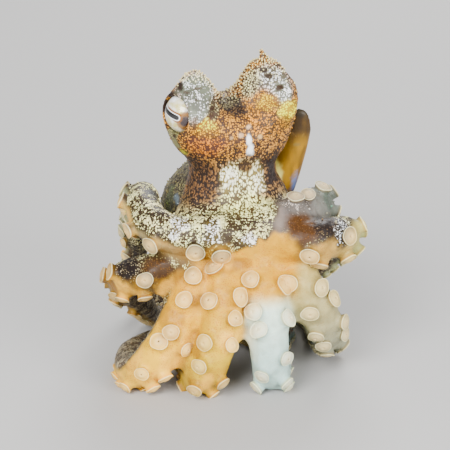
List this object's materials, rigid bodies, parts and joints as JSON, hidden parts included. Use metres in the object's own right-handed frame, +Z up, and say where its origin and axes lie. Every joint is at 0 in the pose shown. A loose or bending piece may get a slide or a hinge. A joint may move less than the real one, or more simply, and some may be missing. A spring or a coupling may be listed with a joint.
{
  "type": "octopus",
  "caption": "Still life-size model of a small veined octopus sitting up on its eight suckered arms, with stalked eyes, a raised neck, a mantle behind and a yellow siphon.",
  "frame": {"origin": "middle of the bounding box's bottom face, on the floor the arms rest on", "axes": "+Z up; the animal faces -Y; its own right side is at -X and its left side at +X"},
  "size_m": [0.058, 0.0718, 0.0727],
  "materials": {
    "mottled": "wet soft skin, brown net over orange and cream cells",
    "speckled": "wet soft skin, dark brown with white spots and blotches",
    "oral": "wet translucent skin, orange to cream, with pale suckers",
    "pale": "wet translucent skin, blue-white to brown, speckled on the back of the arm",
    "siphon": "smooth wet yellow skin with a pale blue edge",
    "papilla": "rough grey-white skin tipped with small papillae",
    "eye": "glossy wet eye, ivory with a dark slit pupil"
  },
  "bodies": {
    "root": {"eye_right": "eye", "eye_left": "eye", "papilla_right": "papilla", "papilla_left": "papilla", "head": "mottled", "neck": "speckled", "siphon": "siphon", "mantle": "mottled", "crown": "speckled", "arm_right_1_base": "oral", "arm_right_1_middle": "pale", "arm_right_1_tip": "pale", "arm_right_2_base": "oral", "arm_right_2_middle": "pale", "arm_right_2_tip": "pale", "arm_right_3_base": "oral", "arm_right_3_middle": "pale", "arm_right_3_tip": "pale", "arm_right_4_base": "oral", "arm_right_4_middle": "pale", "arm_right_4_tip": "pale", "arm_left_4_base": "oral", "arm_left_4_middle": "pale", "arm_left_4_tip": "pale", "arm_left_3_base": "oral", "arm_left_3_middle": "pale", "arm_left_3_tip": "pale", "arm_left_2_base": "oral", "arm_left_2_middle": "pale", "arm_left_2_tip": "pale", "arm_left_1_base": "oral", "arm_left_1_middle": "pale", "arm_left_1_tip": "pale", "web_right_2_3": "oral", "web_right_3_4": "oral", "web_ventral": "oral", "web_left_3_4": "oral"}
  },
  "joints": []
}
